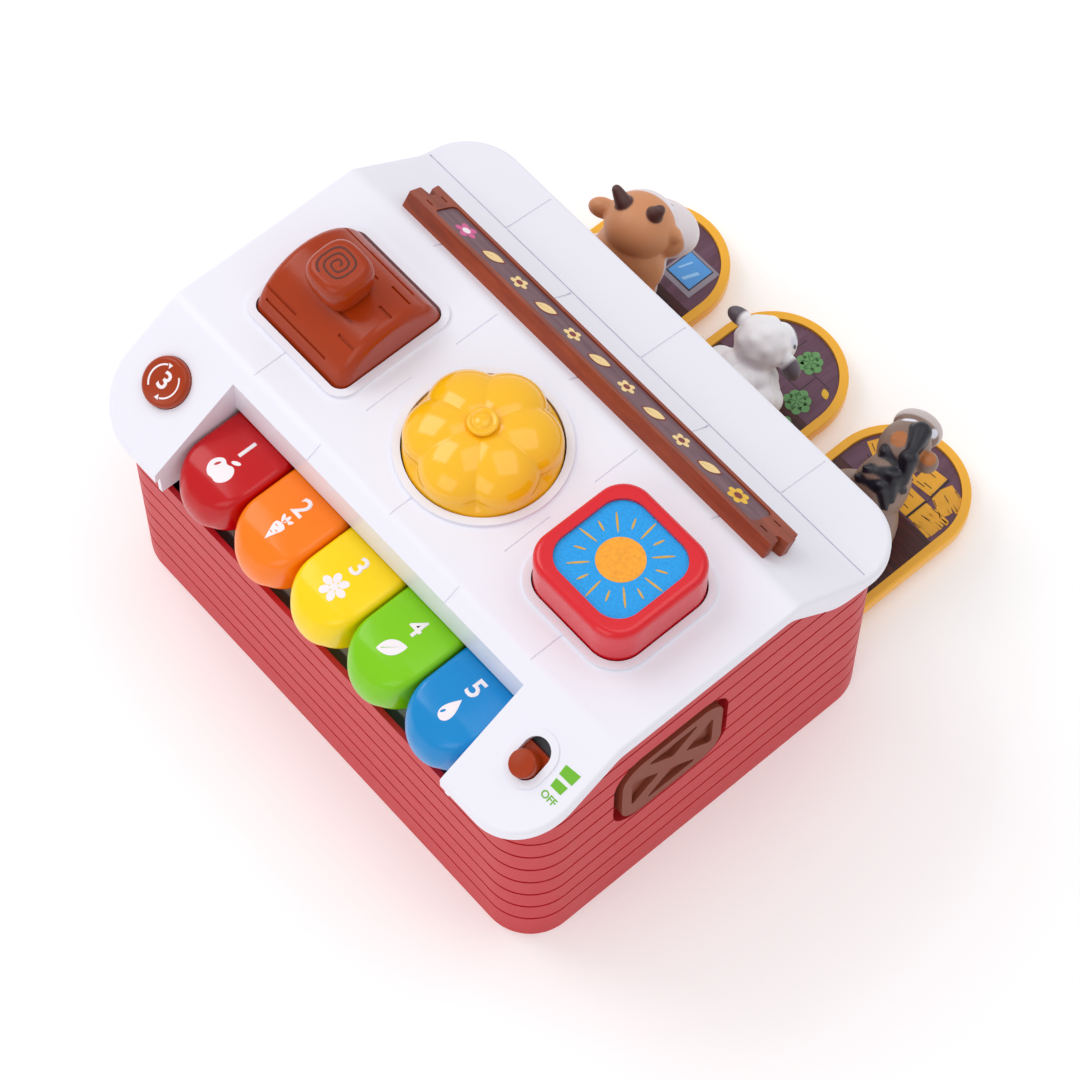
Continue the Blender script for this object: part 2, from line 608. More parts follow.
def pumpkin_rule():
    sizes = {"Lobes": 6, "Around": 216, "Along": 90, "Reach": 34.5 * MM, "Lobe Offset": 17.0 * MM,
             "Crown Offset": 13.4 * MM, "Start Turn": 0.227, "Squash": 0.66, "Wall Radius": 34.7 * MM,
             "Foot": PUMPKIN_FOOT, "Seat": ROOF_Z, "Equator": 158.6 * MM, "Wall Share": 0.28}
    tree, size = rule_tree("pumpkin_dome", sizes)
    do = partial(calc, tree)
    # a flat grid: X runs once round the dome, Y runs from the foot to the crown
    grid = add_node(tree, "GeometryNodeMeshGrid", {"Size X": 1.0, "Size Y": 1.0, "Vertices X": size["Around"],
                                                   "Vertices Y": size["Along"]})
    place = add_node(tree, "GeometryNodeInputPosition")
    split = add_node(tree, "ShaderNodeSeparateXYZ", {"Vector": place.outputs[0]})
    turn = do("MULTIPLY", do("ADD", split.outputs["X"], 0.5), 2 * pi)
    along = do("ADD", split.outputs["Y"], 0.5)
    share = do("DIVIDE", 2 * pi, size["Lobes"])
    wrapped = do("SUBTRACT", do("MODULO", turn, share), do("DIVIDE", share, 2.0))
    # the plain wall, up to the equator
    climb = do("MINIMUM", do("DIVIDE", along, size["Wall Share"]), 1.0)
    wall_z = do("MULTIPLY_ADD", climb, do("SUBTRACT", size["Equator"], size["Foot"]), size["Foot"])
    # the dome above it, by the angle of lift from the equator
    over = do("MAXIMUM", do("SUBTRACT", along, size["Wall Share"]), 0.0)
    lift = do("DIVIDE", do("MULTIPLY", over, pi / 2), do("SUBTRACT", 1.0, size["Wall Share"]))
    cos_lift, sin_lift = do("COSINE", lift), do("SINE", lift)
    closing = do("SUBTRACT", size["Crown Offset"], size["Lobe Offset"])
    offset = do("MULTIPLY_ADD", sin_lift, closing, size["Lobe Offset"])
    lobe = do("SUBTRACT", size["Reach"], offset)
    shift = do("MULTIPLY", offset, do("MULTIPLY", cos_lift, do("COSINE", wrapped)))
    side = do("SUBTRACT", do("POWER", offset, 2.0), do("POWER", shift, 2.0))
    far = do("ADD", shift, do("SQRT", do("SUBTRACT", do("POWER", lobe, 2.0), side)))
    # lobes fade in above the roof, so the wall fills its round seat
    fade = add_node(tree, "ShaderNodeMapRange", {"Value": wall_z, "From Min": size["Seat"],
                                                 "From Max": size["Equator"]},
                    interpolation_type="SMOOTHSTEP")
    swell = do("MULTIPLY", do("SUBTRACT", do("MULTIPLY", far, cos_lift), size["Wall Radius"]),
               fade.outputs[0])
    radius = do("ADD", size["Wall Radius"], swell)
    height = do("MULTIPLY_ADD", do("MULTIPLY", far, sin_lift), size["Squash"], wall_z)
    way = do("ADD", turn, size["Start Turn"])
    spot = xyz(tree, do("MULTIPLY_ADD", radius, do("COSINE", way), PUMPKIN_X),
               do("MULTIPLY_ADD", radius, do("SINE", way), CONTROL_Y), height)
    shaped = add_node(tree, "GeometryNodeSetPosition", {"Geometry": grid.outputs[0], "Position": spot})
    merged = add_node(tree, "GeometryNodeMergeByDistance", {"Geometry": shaped.outputs[0],
                                                            "Distance": 0.01 * MM})
    return close_rule(tree, size, merged.outputs[0])


dome_mesh = bake("pumpkin_dome", pumpkin_rule(), PUMPKIN_YELLOW)
print("pumpkin faces", len(dome_mesh.polygons), "top", round(max(v.co.z for v in dome_mesh.vertices), 4))


# %% Pumpkin and its middle button
def band_faces(count, rows):
    """Four-cornered faces between closed rows that all have the same count of points."""
    return [(k * count + i, k * count + (i + 1) % count, (k + 1) * count + (i + 1) % count,
             (k + 1) * count + i) for k in range(rows - 1) for i in range(count)]


def lathe(name, profile, centre, turns=72):
    """A turned body about an upright axis; the profile starts and ends on the axis."""
    rings = profile[1:-1]
    angles = [2 * pi * i / turns for i in range(turns)]
    points = [(centre[0] + r * cos(a), centre[1] + r * sin(a), z) for r, z in rings for a in angles]
    low, high, last = len(points), len(points) + 1, (len(rings) - 1) * turns
    points += [(centre[0], centre[1], profile[0][1]), (centre[0], centre[1], profile[-1][1])]
    faces = band_faces(turns, len(rings))
    faces += [(low, (i + 1) % turns, i) for i in range(turns)]
    faces += [(high, last + i, last + (i + 1) % turns) for i in range(turns)]
    return mesh_object(name, points, faces)


def tidy_normals(data):
    work = bmesh.new()
    work.from_mesh(data)
    bmesh.ops.remove_doubles(work, verts=work.verts[:], dist=1e-6)
    open_edges = [e for e in work.edges if e.is_boundary]
    if open_edges:
        bmesh.ops.holes_fill(work, edges=open_edges)
    bmesh.ops.recalc_face_normals(work, faces=work.faces[:])
    work.to_mesh(data)
    work.free()
    data.shade_smooth()


tidy_normals(dome_mesh)
pumpkin = new_object("pumpkin_dome", dome_mesh)
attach(pumpkin, "pumpkin")
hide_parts("pumpkin_cap")
BUTTON_PROFILE = [(0, 167), (6.4, 167), (6.4, 172.2), (6.9, 172.9), (7.0, 173.5), (6.7, 174.1),
                  (6.1, 174.5), (5.4, 174.4), (4.8, 174.0), (4.4, 173.9), (3.9, 174.1), (3.4, 174.7),
                  (2.4, 175.1), (0, 175.3)]
stub = lathe("pumpkin_button", [(r * MM, z * MM) for r, z in BUTTON_PROFILE], (PUMPKIN_X, CONTROL_Y))
tidy_normals(stub.data)
stub.data.materials.append(PUMPKIN_YELLOW)
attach(stub, "pumpkin")
print("button faces:", len(stub.data.polygons))

# %% [markdown]
# ## Rings of marks
# Petals, sun rays and bushy leaves are the same thing: one mark repeated round a
# circle. One rule with five named sizes draws them all.

# %% Petal ring rule
def petal_ring_rule():
    sizes = {"Count": 5, "Ring Radius": 1.0, "Length": 0.5, "Width": 0.3, "Short Share": 1.0}
    tree, size = rule_tree("petal_ring", sizes)
    petal = add_node(tree, "GeometryNodeMeshCircle", {"Vertices": 20, "Radius": 1.0}, fill_type="NGON")
    circle = add_node(tree, "GeometryNodeMeshCircle", {"Vertices": size["Count"],
                                                       "Radius": size["Ring Radius"]})
    index = add_node(tree, "GeometryNodeInputIndex").outputs[0]
    odd = calc(tree, "MODULO", index, 2.0)
    shorten = calc(tree, "MULTIPLY_ADD", odd, calc(tree, "SUBTRACT", size["Short Share"], 1.0), 1.0)
    turn = calc(tree, "DIVIDE", calc(tree, "MULTIPLY", index, 2 * pi), size["Count"])
    scale = xyz(tree, calc(tree, "MULTIPLY", size["Length"], shorten), size["Width"], 1.0)
    marks = set_on(tree, circle.outputs[0], petal.outputs[0], Rotation=xyz(tree, z=turn), Scale=scale)
    return close_rule(tree, size, marks)


PETAL_RING = petal_ring_rule()
print("petal ring sockets", len(PETAL_RING.interface.items_tree))

# %% [markdown]
# ## Print on plastic
# Pad print is a thin skin of ink. Each mark is a flat outline, cut into small
# faces, then dropped along a straight line onto the piece that carries it. That
# gives a closed skin a tenth of a millimetre thick that follows any curve.

# %% Laying ink on a surface
INK = 0.1 * MM
CUT_STEP = 1.3 * MM
DROP_FROM, DROP_REACH = 20 * MM, 60 * MM


def flat_mesh(loops=(), words=None, size=0.0, thickness=0.0):
    """Flat filled mesh from closed outlines, or from plain numbers and generic words."""
    curve = bpy.data.curves.new("outline", "FONT" if words else "CURVE")
    if words:
        curve.body = words
        curve.size = size
        curve.align_x = "CENTER"
        curve.align_y = "CENTER"
        curve.offset = size * 0.02
    else:
        curve.dimensions = "2D"
        curve.extrude = thickness / 2
    for loop in loops:
        spline = curve.splines.new("POLY")
        spline.points.add(len(loop) - 1)
        for point, (px, py) in zip(spline.points, loop):
            point.co = (px, py, 0.0, 1.0)
        spline.use_cyclic_u = True
    curve.fill_mode = "BOTH"
    return plain_mesh(new_object("outline", curve))


def grid_cut(work):
    for axis in (0, 1):
        values = [v.co[axis] for v in work.verts]
        normal = Vector((1 - axis, axis, 0))
        for k in range(ceil(min(values) / CUT_STEP), floor(max(values) / CUT_STEP) + 1):
            bmesh.ops.bisect_plane(work, geom=work.verts[:] + work.edges[:] + work.faces[:],
                                   plane_co=normal * (k * CUT_STEP), plane_no=normal)


def lay_print(name, data, place, host, body, finish, lift=INK, curved=True, turn=0.0, at=(0, 0)):
    """Drops a flat mesh onto a host along the -Z of place, as a closed skin of ink.

    The skin starts half an ink's depth inside the host and ends lift above it."""
    work = bmesh.new()
    work.from_mesh(data)
    spin = Matrix.Translation((at[0], at[1], 0)) @ turned(turn, "Z")
    bmesh.ops.transform(work, matrix=spin, verts=work.verts[:])
    bmesh.ops.remove_doubles(work, verts=work.verts[:], dist=1e-6)
    if curved:
        grid_cut(work)
    upper = work.verts[:]
    lower = bmesh.ops.extrude_face_region(work, geom=work.faces[:])["geom"]
    lower = [v for v in lower if isinstance(v, bmesh.types.BMVert)]
    carrier = nodes[host] if isinstance(host, str) else host
    surface = BVHTree.FromObject(carrier, bpy.context.evaluated_depsgraph_get())
    down = (place.to_3x3() @ Vector((0, 0, -1))).normalized()
    missed = 0
    for verts, height in ((upper, -0.5 * INK), (lower, lift)):
        for vert in verts:
            above = place @ Vector((vert.co.x, vert.co.y, DROP_FROM))
            hit = surface.ray_cast(above, down, DROP_REACH)[0]
            if hit is None:
                missed += 1
                hit = place @ Vector((vert.co.x, vert.co.y, 0.0))
            vert.co = hit - down * height
    bmesh.ops.recalc_face_normals(work, faces=work.faces[:])
    done = mesh_from(work, name)
    done.materials.append(finish)
    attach(new_object(name, done), body)
    print(name, "faces", len(done.polygons), "missed", missed)


def ink(name, rgb, swirl=0.05, scale=120.0):
    return plastic(name, rgb, rough=0.35, swirl=swirl, scale=scale, bump=0.01)


WHITE_INK = ink("white_ink", (244, 236, 240))
print("ink skin:", INK, "m")


# %% Outline helpers
def ring(cx, cy, rx, ry=None, count=36, start=0.0, stop=360.0):
    ry = rx if ry is None else ry
    steps = count if stop - start > 359.9 else count + 1
    angles = [radians(start + (stop - start) * i / count) for i in range(steps)]
    return [(cx + rx * cos(a), cy + ry * sin(a)) for a in angles]


def arc_band(r_in, r_out, start, stop):
    return ring(0, 0, r_out, None, 20, start, stop) + ring(0, 0, r_in, None, 20, start, stop)[::-1]


def resized(loops, size, turn=0.0, dx=0.0, dy=0.0):
    c, s = cos(radians(turn)), sin(radians(turn))
    return [[((px * c - py * s) * size + dx, (px * s + py * c) * size + dy) for px, py in loop]
            for loop in loops]


def slope_place(x, y, z, degrees):
    """A frame that stands on a roof slope, its Z square to the slope."""
    return Matrix.Translation((x, y, z)) @ turned(degrees, "X")


print("outline helpers ready")

# %% [markdown]
# ## The five keys
# A key is a thick tongue: flat and glossy on top, with a nose that rolls over both
# in plan and in side view. Rings of points from the back to the nose give it, each
# a rectangle with round corners. One smooth curve shrinks them all, so no facets
# show in the gloss. An arm behind the head holds the key on its axle.

# %% Key bodies
KEY_PITCH, KEY_HALF, KEY_FLAT, KEY_TIP, KEY_UNDER = 37.9, 18.4, 127.2, 107.5, 101.0
KEY_BACK, KEY_BEND, KEY_NOSE, KEY_EDGE, KEY_ROLL = -64.0, -87.5, -109.5, 3.0, 2.4
CORNER_STEPS, NOSE_STEPS, NOSE_REACH, NOSE_SOFTER = 8, 23, 89.2, 7.0
AXLE_Y, AXLE_Z, AXLE_BORE, ARM_HALF, ARM_WIDTH = -47.0, 113.0, 2.2, 5.0, 14.0


def key_ring(y, half, low, high, radius):
    r = min(radius, 0.97 * half, 0.48 * (high - low))
    points = []
    for quarter, (side, up) in enumerate(((1, 1), (-1, 1), (-1, -1), (1, -1))):
        middle_z = high - r if up > 0 else low + r
        for step in range(CORNER_STEPS + 1):
            a = pi / 2 * (quarter + step / CORNER_STEPS)
            points.append((side * (half - r) + r * cos(a), y, middle_z + r * sin(a)))
    return points


def key_rings():
    rings = [key_ring(KEY_BACK - run, KEY_HALF - inset, KEY_UNDER + inset, KEY_FLAT - inset, KEY_EDGE)
             for run, inset in ((0.0, 1.0), (0.3, 0.3), (1.0, 0.0))]
    rings += [key_ring(y, KEY_HALF, KEY_UNDER, KEY_FLAT, KEY_EDGE) for y in (-73.0, -78.0, -83.0, KEY_BEND)]
    for step in range(1, NOSE_STEPS + 1):
        share = sin(radians(NOSE_REACH) * step / NOSE_STEPS)
        fall = (1 - share ** KEY_ROLL) ** (1 / KEY_ROLL)
        rings.append(key_ring(KEY_BEND + share * (KEY_NOSE - KEY_BEND), KEY_HALF * fall,
                              KEY_TIP - (KEY_TIP - KEY_UNDER) * fall, KEY_TIP + (KEY_FLAT - KEY_TIP) * fall,
                              KEY_EDGE + NOSE_SOFTER * share ** 2))
    return rings


def skin(rings):
    """Points and faces of a closed body over rings of equal count."""
    count = len(rings[0])
    last = (len(rings) - 1) * count
    faces = band_faces(count, len(rings)) + [tuple(range(count)), tuple(range(last, last + count))]
    return [p for r in rings for p in r], faces


def key_arm():
    """The arm, drawn in side view as (y, z), with its round end and the axle bore."""
    end = ring(AXLE_Y, AXLE_Z, ARM_HALF, None, 24, -90, 90)
    outline = [(KEY_BACK - 1.0, AXLE_Z - ARM_HALF)] + end + [(KEY_BACK - 1.0, AXLE_Z + ARM_HALF)]
    arm = flat_mesh([outline, ring(AXLE_Y, AXLE_Z, AXLE_BORE, None, 24)], thickness=ARM_WIDTH)
    arm.transform(Matrix(((0, 0, 1, 0), (1, 0, 0, 0), (0, 1, 0, 0), (0, 0, 0, 1))))
    return arm


def build_key(number):
    name = "key_%d" % number
    work = bmesh.new()
    points, faces = skin(key_rings())
    head = bpy.data.meshes.new("key_head")
    head.from_pydata(points, [], faces)
    work.from_mesh(head)
    work.from_mesh(key_arm())
    move = Matrix.Translation(((number - 3) * KEY_PITCH * MM, 0, 0)) @ Matrix.Scale(MM, 4)
    bmesh.ops.transform(work, matrix=move, verts=work.verts[:])
    bmesh.ops.remove_doubles(work, verts=work.verts[:], dist=1e-7)
    bmesh.ops.recalc_face_normals(work, faces=work.faces[:])
    for face in work.faces:
        face.smooth = len(face.verts) == 4 and face.calc_center_median().y < (KEY_BACK - 1.2) * MM
    data = mesh_from(work, name + "_body")
    data.materials.append(nodes[name].data.materials[0])
    key = new_object(name + "_body", data)
    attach(key, name)
    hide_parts(name)
    return key


KEY_BODIES = [build_key(number) for number in range(1, 6)]
print("faces in a key:", len(KEY_BODIES[0].data.polygons))

# %% [markdown]
# ## The stump knob
# The knob that rocks the log is a stump with four soft corners. In plan it is a
# superellipse, a circle drawn towards a square. In side view it is a barrel. Its
# year ring is one dark spiral that follows the same soft square.

# %% Stump knob
axle_low, axle_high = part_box("roller_axle")
STUMP_TILT = 4.0
STUMP_SPOT = (-88.5 * MM, CONTROL_Y, (axle_low.z + axle_high.z) / 2)
STUMP = Matrix.Translation(STUMP_SPOT) @ turned(STUMP_TILT, "X")
STUMP_PROFILE = [(10.2, 28.2), (11.4, 31.0), (12.5, 35.0), (13.0, 39.0), (13.1, 41.5), (12.9, 44.0),
                 (12.2, 46.4), (11.2, 47.8), (10.0, 48.6), (9.0, 48.8)]
STUMP_TOP = STUMP_PROFILE[-1][1] * MM
SQUARENESS = 3.0


def soft_square(radius, angle):
    """A point of a circle that is drawn towards a square."""
    c, s = cos(angle), sin(angle)
    grown = radius * (abs(c) ** SQUARENESS + abs(s) ** SQUARENESS) ** (-1 / SQUARENESS)
    return grown * c, grown * s


def stump_ring(radius, height, count=72):
    return [(*soft_square(radius, 2 * pi * i / count), height) for i in range(count)]


points, faces = skin([stump_ring(r, z) for r, z in STUMP_PROFILE])
stump = mesh_object("stump_knob", [STUMP @ (Vector(p) * MM) for p in points], faces)
tidy_normals(stump.data)
stump.data.polygons[-1].use_smooth = False
stump.data.materials.append(LOG_BROWN)
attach(stump, "log")
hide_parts("log_knob")
print("stump faces:", len(stump.data.polygons))


# %% Year spiral
def spiral_band(first, last, turns, width, count=96):
    shares = [i / count for i in range(count + 1)]
    edges = [[soft_square(first + (last - first) * t + side, 2 * pi * turns * t) for t in shares]
             for side in (width / 2, -width / 2)]
    return edges[0] + edges[1][::-1]


BARK_INK = ink("bark_ink", (78, 22, 6))
year_ring = flat_mesh(resized([spiral_band(first=1.0, last=8.3, turns=2.7, width=0.8)], MM))
lay_print("stump_spiral", year_ring, STUMP @ Matrix.Translation((0, 0, STUMP_TOP)), stump, "log", BARK_INK,
          curved=False)

# %% [markdown]
# ## Keyboard print
# Plain numbers stand at the back of the keys, and one garden motif in front of
# each. An outline holds only the points its shape needs, and rounds are formulas.

# %% Key motifs
def apple_loops():
    body = []
    for i in range(48):
        a = 2 * pi * i / 48
        dent = 0.3 * exp(-((a - pi / 2) / 0.38) ** 2)
        dent += 0.12 * exp(-((a - 3 * pi / 2) / 0.3) ** 2)
        body.append(((0.95 - dent * 0.4) * cos(a), (0.88 - dent) * sin(a) - 0.12))
    leaf = resized([ring(0, 0, 0.34, 0.15, 20)], 1.0, 30, 0.32, 0.95)
    gleam = resized([ring(0, 0, 0.1, 0.26, 18)], 1.0, -20, -0.5, 0.05)
    return [body] + leaf + gleam


def carrot_loops():
    root = [(0, -1.1), (0.2, -0.6), (0.42, 0.0), (0.42, 0.26), (0.2, 0.4), (-0.2, 0.4), (-0.42, 0.26),
            (-0.42, 0.0), (-0.2, -0.6)]
    notches = [resized([[(0, -0.035), (0.26, -0.035), (0.26, 0.035), (0, 0.035)]], 1.0, 0, dx, dy)[0]
               for dx, dy in ((-0.3, 0.05), (0.02, -0.22), (-0.2, -0.48))]
    tops = [resized([ring(0, 0.4, 0.13, 0.34, 20)], 1.0, turn, 0, 0.4)[0] for turn in (-38, 0, 38)]
    return [root] + notches + tops


def leaf_loops():
    steps = [i / 20 for i in range(21)]
    upper = [(2 * t - 1, 0.56 * sin(pi * t) ** 0.8) for t in steps]
    lower = [(px, -py) for px, py in upper[::-1]][1:-1]
    vein = [(-0.7, -0.03), (0.62, 0.0), (-0.7, 0.03)]
    return resized([upper + lower, vein], 1.0, 48)


def drop_loops():
    outline = []
    for i in range(40):
        a = 2 * pi * i / 40
        outline.append((0.66 * sin(a) * sin(a / 2) ** 1.3, 0.95 * cos(a) + 0.02))
    return [outline] + resized([ring(0, 0, 0.09, 0.2, 18)], 1.0, -25, -0.24, -0.42)


MOTIFS = (apple_loops, carrot_loops, leaf_loops, drop_loops)
print("points in a motif:", [sum(len(loop) for loop in motif()) for motif in MOTIFS])

# %% Numbers and motifs on the keys
KEY_TOP, DIGIT_Y, MARK_Y = KEY_FLAT * MM, -77.0 * MM, -90.6 * MM
MARK_SIZE, DIGIT_SIZE = 6.6 * MM, 13.0 * MM
flower = bake("key_flower", PETAL_RING, WHITE_INK, Count=6, Ring_Radius=0.64 * MARK_SIZE,
              Length=0.38 * MARK_SIZE, Width=0.28 * MARK_SIZE)
KEY_MARKS = [flat_mesh(resized(motif(), MARK_SIZE)) for motif in MOTIFS]
KEY_MARKS.insert(2, flower)
for number, mark in enumerate(KEY_MARKS, 1):
    digit = flat_mesh(words=str(number), size=DIGIT_SIZE)
    for part, shape, y in (("number", digit, DIGIT_Y), ("mark", mark, MARK_Y)):
        spot = Matrix.Translation(((number - 3) * KEY_PITCH * MM, y, KEY_TOP))
        lay_print("key_%d_%s" % (number, part), shape, spot, KEY_BODIES[number - 1], "key_%d" % number,
                  WHITE_INK)
heart = flat_mesh([ring(0, 0, 1.8 * MM)])
lay_print("key_3_heart", heart, Matrix.Translation((0, MARK_Y, KEY_TOP)), KEY_BODIES[2], "key_3", WHITE_INK)

# %% [markdown]
# ## Marks beside the controls
# A ring of two arrows round a 3 says that the brown button steps through three
# ways to play. Green bars beside the slide switch show the sound growing.

# %% Mode and switch print
FRONT_SLOPE = 30.5
MODE_PLACE = slope_place(-119.5 * MM, -84.6 * MM, 137.42 * MM, FRONT_SLOPE)
SWITCH_PLACE = slope_place(118.6 * MM, -83.4 * MM, 138.13 * MM, FRONT_SLOPE)
on_mode = partial(lay_print, place=MODE_PLACE, host="mode_button", body="mode", finish=WHITE_INK)
on_mode("mode_number", flat_mesh(words="3", size=11.5 * MM))
ARROW_RADIUS, ARROW_HALF, TIP_ANGLE = 7.5 * MM, 0.4 * MM, 114
for side, name in ((0, "left"), (180, "right")):
    band = arc_band(ARROW_RADIUS - ARROW_HALF, ARROW_RADIUS + ARROW_HALF, TIP_ANGLE + 4, 232)
    tip = resized([[(-0.9, 0), (1.7, 0), (0.3, 2.0)]], MM, TIP_ANGLE - 168,
                  ARROW_RADIUS * cos(radians(TIP_ANGLE)), ARROW_RADIUS * sin(radians(TIP_ANGLE)))
    on_mode("mode_arc_" + name, flat_mesh([band]), turn=side)
    on_mode("mode_tip_" + name, flat_mesh(tip), turn=side, lift=INK * 1.4)
BAR_X = 16.9
BARS = [[(-3.6, 3.9), (-3.9, 8.7), (4.3, 9.6), (3.9, 4.1)],
        [(-3.0, -2.2), (-3.3, 1.9), (3.4, 2.3), (3.0, -2.0)]]
bars = flat_mesh(resized(BARS, MM, dx=BAR_X * MM))
on_roof = partial(lay_print, place=SWITCH_PLACE, host="roof_cover", body="barn",
                  finish=ink("green_ink", (110, 186, 34)))
on_roof("switch_bars", bars)
on_roof("switch_off", flat_mesh(words="OFF", size=4.6 * MM), at=(BAR_X * MM, -6.4 * MM))

# %% [markdown]
# ## The sun on its blue field
# The lens is printed behind clear plastic. Under the sun the ink is a little
# uneven, like crayon, so its colour drifts more than that of a moulding.

# %% Sun disc and rays
SUN_X = 87.5 * MM
on_sun = partial(lay_print, place=Matrix.Translation((SUN_X, CONTROL_Y, 173.4 * MM)), host="sun_lens",
                 body="sun", curved=False)
RAY_INK = ink("ray_ink", (216, 168, 62), swirl=0.4, scale=260.0)
rays = bake("sun_rays", PETAL_RING, RAY_INK, Count=16, Ring_Radius=17.6 * MM, Length=5.0 * MM, Width=0.5 * MM,
            Short_Share=0.55)
on_sun("sun_disc", flat_mesh([ring(0, 0, 10.6 * MM, None, 72)]),
       finish=ink("sun_ink", (250, 164, 34), swirl=0.7, scale=700.0))
on_sun("sun_rays", rays, finish=RAY_INK, turn=8)

# %% [markdown]
# ## The coil spring under the sun
# The coil stands on a fixed seat and shortens as the button goes down. A stiff
# part would pierce the button, so this mesh flattens towards its seat instead.

# %% Spring that shortens
spring = new_object("sun_coil", nodes["sun_spring"].data.copy())
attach(spring, "barn")
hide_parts("sun_spring")
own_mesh(spring)

# %% [markdown]
# ## Sign and door pictures
# The sign and the three door panels carry printed films. Their pictures here are
# plain garden things: blossoms, leaves, a window, bushes and straw.

# %% Sign film
BACK_SLOPE = -34.5
SIGN_MIDDLE = 10.4 * MM
on_sign = partial(lay_print, place=slope_place(0.0, 46.0 * MM, 149.41 * MM, BACK_SLOPE), host="sign_label",
                  body="barn", curved=False)
CREAM_INK = ink("cream_ink", (246, 214, 150))
MAROON_INK = ink("maroon_ink", (128, 36, 40))
PINK_INK = ink("pink_ink", (214, 92, 150))
GOLD_INK = ink("gold_ink", (240, 190, 50))


def sign_blossom(name, x, petals, colour, size=1.0):
    grow = MM * size
    outer = bake(name, PETAL_RING, colour, Count=petals, Ring_Radius=3.1 * grow, Length=2.3 * grow,
                 Width=1.75 * grow)
    on_sign(name, outer, finish=colour, at=(x * MM, SIGN_MIDDLE))
    on_sign(name + "_eye", flat_mesh([ring(0, 0, 2.0 * grow, None, 24)]), lift=INK * 2,
            finish=WHITE_INK if colour is PINK_INK else MAROON_INK, at=(x * MM, SIGN_MIDDLE))


sign_blossom("sign_flower_pink", -88.0, 5, PINK_INK)
sign_blossom("sign_flower_gold", 88.0, 6, GOLD_INK)
LEAF_COUNT, LEAF_PITCH = 9, 17.5
for i in range(LEAF_COUNT):
    x = (i - (LEAF_COUNT - 1) / 2) * LEAF_PITCH
    if i % 2:
        sign_blossom("sign_blossom_%d" % i, x, 5, CREAM_INK, 0.82)
        continue
    for part, colour, grow, height in (("rim", MAROON_INK, 6.2, INK), ("leaf", CREAM_INK, 5.3, INK * 2)):
        loops = resized(leaf_loops(), grow * MM, -18)
        shape = flat_mesh(loops[:1] if part == "rim" else loops)
        on_sign("sign_%s_%d" % (part, i), shape, finish=colour, lift=height, at=(x * MM, SIGN_MIDDLE))

# %% Door films
FILM_PLACE = Matrix.Translation((0, 0, PANEL_Z))
FLOOR_INK = plastic("floor_ink", (66, 26, 26), rough=0.3,
                    source=grain((50, 16, 18), (84, 34, 30), (1, 9, 1), 60.0))
GREY_INK = ink("grey_ink", (150, 140, 152))
BLUE_INK = ink("blue_ink", (86, 158, 226))
PALE_BLUE_INK = ink("pale_blue_ink", (150, 200, 244))
LEAF_INK = ink("leaf_ink", (104, 158, 96), swirl=0.3)
DARK_LEAF_INK = ink("dark_leaf_ink", (60, 104, 62))
STRAW_INK = ink("straw_ink", (240, 172, 42), swirl=0.3)
DARK_INK = ink("dark_ink", (50, 34, 40))


def block(cx, cy, w, h):
    return [(cx - w / 2, cy - h / 2), (cx + w / 2, cy - h / 2), (cx + w / 2, cy + h / 2),
            (cx - w / 2, cy + h / 2)]


def lay_on_door(side, name, shape, colour, lift, x=0.0, y=0.0, turn=0.0):
    """Lays a flat shape on a door panel, x and y in millimetres from the door's middle line."""
    lay_print("%s_%s" % (side, name), shape, FILM_PLACE, "door_panel_" + side, "door_" + side, colour,
              lift=INK * lift, curved=False, turn=turn, at=((DOOR_X[side] + x) * MM, y * MM))


def door_film(side, name, loops, colour, lift=1.0):
    """A mark on a door panel from outlines in millimetres."""
    lay_on_door(side, name, flat_mesh(resized(loops, MM)), colour, lift)


FLOOR_START, FLOOR_END, FLOOR_WIDTH, LINE = 111.2, 166.0, 61, 0.35
for side in DOOR_X:
    floor_block = block(0, (FLOOR_START + FLOOR_END) / 2, FLOOR_WIDTH, FLOOR_END - FLOOR_START)
    door_film(side, "floor", [floor_block], FLOOR_INK)
    boards = [block(0, y, 46, LINE) for y in (176, 187)]
    boards += [block(px, y, LINE, 10.2) for px, y in ((-9, 170.6), (14, 181.5), (-4, 192.6))]
    door_film(side, "boards", boards, DARK_INK)
door_film("left", "window_frame", [block(14.3, 181.1, 20.4, 20.2)], GREY_INK, 2)
door_film("left", "window_shade", [block(13.5, 181.7, 16.4, 16.2)], DARK_INK, 3)
door_film("left", "window_glass", [block(13.5, 181.9, 15.2, 15.0)], BLUE_INK, 4)
door_film("left", "window_gleam", [[(8, 179), (9.2, 179), (11.5, 186), (10.3, 186)],
                                   [(13.5, 176), (15.5, 176), (18.5, 184), (16.5, 184)]], PALE_BLUE_INK, 5)

# %% Bushes and fallen leaves
BUSHES = [(6.2, 190.3, 7.0), (17.9, 171.1, 7.4), (-15, 178, 7.0), (23.0, 156.0, 6.6)]
for i, (bx, by, size) in enumerate(BUSHES):
    leaves = bake("bush_%d" % i, PETAL_RING, LEAF_INK, Count=7, Ring_Radius=size * 0.52 * MM,
                  Length=size * 0.46 * MM, Width=size * 0.36 * MM, Short_Share=0.8)
    lay_on_door("middle", "bush_%d" % i, leaves, LEAF_INK, 2, bx, by)
    door_film("middle", "bush_heart_%d" % i, [ring(bx, by, size * 0.45)], LEAF_INK, 3)
    veins = [resized([block(0, size * 0.35, 0.4, size * 0.5)], 1.0, turn, bx, by)[0]
             for turn in range(0, 360, 60)]
    door_film("middle", "bush_veins_%d" % i, veins, DARK_LEAF_INK, 4)
door_film("middle", "fallen_leaves", [resized(leaf_loops()[:1], 3.0, turn, lx, ly)[0]
                                      for lx, ly, turn in ((23.5, 183.7, -80), (-20, 188, 80))], GOLD_INK, 2)

